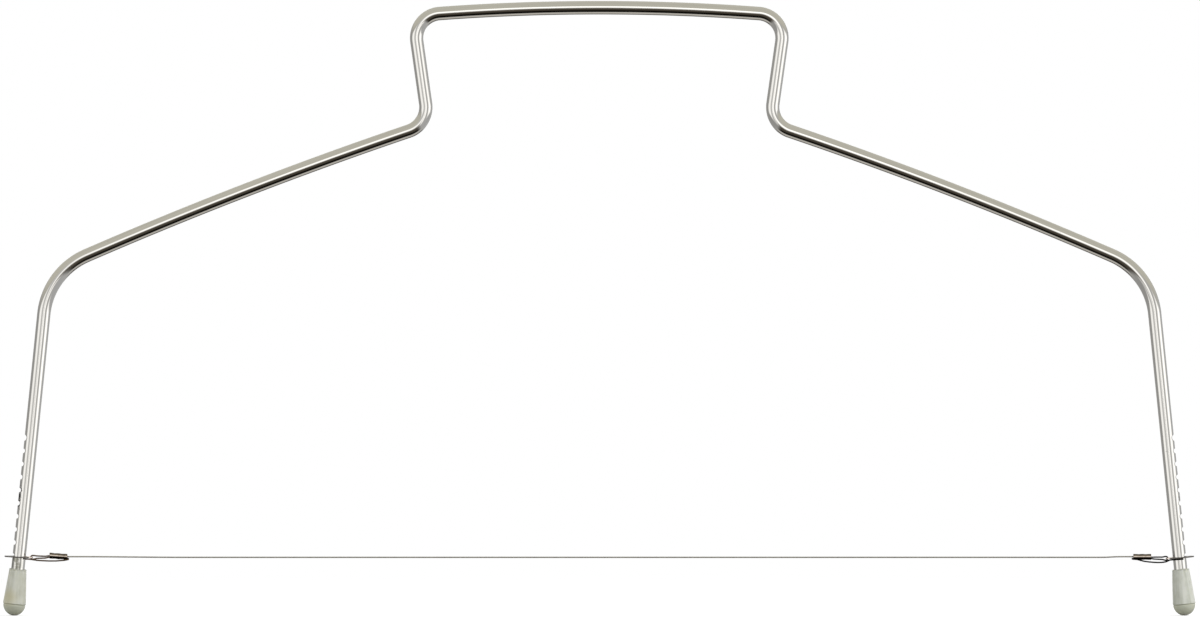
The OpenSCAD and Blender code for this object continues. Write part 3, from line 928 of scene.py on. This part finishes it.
# The plain studio that the metal reflects. Directions are sines. A pair is where something starts to show
# and where it is full, unless its note says otherwise.
studio = dict(
    evenFrom=(-0.4, 0.8),       # heights between which the even light on matte surfaces grows
    evenLight=(0.3, 0.82),      # its strength below and above them
    ceiling="#E0DED3",
    ceilingFrom=(0.1, 0.5),
    leftWall="#B3B3B3",
    rightWall="#CBCCCE",
    leftFrom=(0.3, -0.5),
    ground="#DEDBD5",           # the floor under and behind the object
    groundFrom=(-0.6, -0.9),
    windowTop=0.42,             # the window's highest elevation
    windowNarrow=0.88,          # the larger, the narrower it is
    windowEdge=(1.02, 0.86),    # its soft edge, in shares of its size
    windowFront=(0.02, -0.23),
    windowSkew=0.11,            # it runs further back on the right than on the left
    windowLight=(1.5, 1.9),     # its light at the far left and elsewhere, where 1 is white
    lightFrom=(-0.9, -0.1),     # between these it changes from one to the other
    postMiddle=0.05,            # between its two posts, and from there to each
    postAt=0.46,
    postEdge=(0.08, 0.36),      # distances from a post's middle where it is full and where it ends
    postLight=(0.44, 0.32),     # share of its light that the left and the right post let through
    postFrom=(-0.3, 0.3),       # likewise
    backSmaller=2.0,            # how many times smaller the window behind is
    backEdge=(1.05, 0.8),
    backFrom=(0.6, 0.7),
    benchHalf=0.8,              # half width of the dark bench, in multiples of its depth
    benchBlur=0.15,
    benchBehind=0.2,            # distances behind the object count by this share
    benchOver=0.08,             # depth at the horizon, and the least depth
    benchLeast=0.02,
    benchStart=(0.04, 0.24),
    benchFade=(0.2, -0.25),     # it fades out between these heights
    farBench="#5A544B",
    nearBench="#0E0C0A",
    farFrom=(-0.78, -0.5),      # heights between which it turns from the near tone to the far one
)


def makeWorld():
    # White to the camera and an even soft light on matte surfaces. In the metal's reflections it is a plain
    # studio: grey walls and ceiling, a bright window in front and a smaller one behind, and a dark bench on
    # the floor that runs away from the object towards the camera.
    world = bpy.data.worlds.new("studioWorld")
    bpy.context.scene.world = world
    t, s = Shading(world), studio
    x, y, z = t.axes(t.add("TexCoord")["Generated"])
    # the window: an ellipse in x and z, with two grey posts that stand in it
    spread = {"X": t.times(x, s["windowNarrow"]), "Y": t.math("DIVIDE", z, s["windowTop"])}
    ellipse = t.length(t.add("CombineXYZ", spread)[0])
    front = t.ease(t.math("MULTIPLY_ADD", x, -s["windowSkew"], y), s["windowFront"])
    window = t.times(t.ease(ellipse, s["windowEdge"]), front)
    postLight = t.remap(x, s["postFrom"], s["postLight"])
    fromPost = t.apart(t.apart(x, s["postMiddle"]), s["postAt"])
    post = t.ease(fromPost, s["postEdge"], (postLight, 1))
    throughPane = t.times(post, t.remap(x, s["lightFrom"], s["windowLight"]))
    # the same window behind, smaller
    backPane = t.ease(t.times(ellipse, s["backSmaller"]), s["backEdge"])
    windows = t.math("MAXIMUM", window, t.times(backPane, t.ease(y, s["backFrom"])))
    lowWall = t.mix(t.ease(x, s["leftFrom"]), s["rightWall"], s["leftWall"])
    grounded = t.mix(t.ease(z, s["groundFrom"]), lowWall, s["ground"])
    walls = t.mix(t.ease(z, s["ceilingFrom"]), grounded, s["ceiling"])
    lit = t.mix(windows, walls, throughPane)
    # the bench: where a ray downwards meets the floor, in multiples of its depth
    away = t.math("MAXIMUM", t.times(y, -1), t.times(y, s["benchBehind"]))
    deep = t.math("MAXIMUM", t.math("SUBTRACT", s["benchOver"], z), s["benchLeast"])
    across, ahead = t.math("DIVIDE", t.math("ABSOLUTE", x), deep), t.math("DIVIDE", away, deep)
    within = t.ease(across, (s["benchHalf"] + s["benchBlur"], s["benchHalf"] - s["benchBlur"]))
    bench = t.times(t.times(within, t.ease(ahead, s["benchStart"])), t.ease(z, s["benchFade"]))
    benchTone = t.mix(t.remap(z, s["farFrom"]), s["nearBench"], s["farBench"])
    reflected = t.add("Background", {"Color": t.mix(bench, lit, benchTone), "Strength": 1})[0]
    overhead = t.remap(z, s["evenFrom"], s["evenLight"])
    even = t.add("Background", {"Color": "#FFFFFF", "Strength": overhead})[0]
    white = t.add("Background", {"Color": "#FFFFFF", "Strength": 1})[0]
    rays = t.add("LightPath")
    matte = t.mixShader(rays["Is Glossy Ray"], even, reflected)
    t.finish(t.mixShader(rays["Is Camera Ray"], matte, white), "OutputWorld")


# Two square soft lamps, in millimetres and watts
lampSize = 500.0
lampAim = (0, 0, 60)
lamps = dict(
    keyLight=dict(place=(800, -450, 600), power=5.7),
    fillLight=dict(place=(-600, -500, 500), power=1.2),
)


def makeLamp(name, place, power):
    # Points at the aim: tilted by the angle from straight down, and turned towards it about Z.
    data = bpy.data.lights.new(name, "AREA")
    data.shape, data.size, data.energy = "SQUARE", lampSize * mm, power
    lamp = addObject(name, data)
    x, y, z = np.subtract(place, lampAim)
    lamp.location = np.multiply(place, mm)
    lamp.rotation_euler = (math.atan2(math.hypot(x, y), z), 0, math.atan2(y, x) + 90 * deg)
    lamp.visible_glossy = False


photo = dict(
    width=1200,
    height=618,
    axisX=599.3,        # the object's middle in the photograph
    floorY=615.5,       # the tips of the feet in the photograph
    scale=0.26,         # millimetres a pixel
    distance=3000.0,
    sensor=36.0,
)


def makeCamera():
    # Level with the middle of the photograph, looking along +Y from far off.
    data = bpy.data.cameras.new("photoCamera")
    camera = addObject("photoCamera", data)
    across = photo["width"] * photo["scale"]
    data.sensor_width = photo["sensor"]
    data.lens = photo["sensor"] * photo["distance"] / across
    data.clip_end = 20
    middleX = (photo["width"] / 2 - photo["axisX"]) * photo["scale"]
    middleZ = (photo["floorY"] - photo["height"] / 2) * photo["scale"]
    camera.location = (middleX * mm, -photo["distance"] * mm, middleZ * mm)
    camera.rotation_euler = (90 * deg, 0, 0)
    bpy.context.scene.camera = camera


print("setting the stage")
makeFloor()
makeWorld()
for name, lamp in lamps.items():
    makeLamp(name, **lamp)
makeCamera()
bpy.context.scene.view_settings.view_transform = "Standard"

for piece in [bentRod, tautWire, *caps.values(), *tabs.values(), *eyes.values(), *sleeves.values()]:
    print(piece.name, len(piece.data.polygons), "faces")
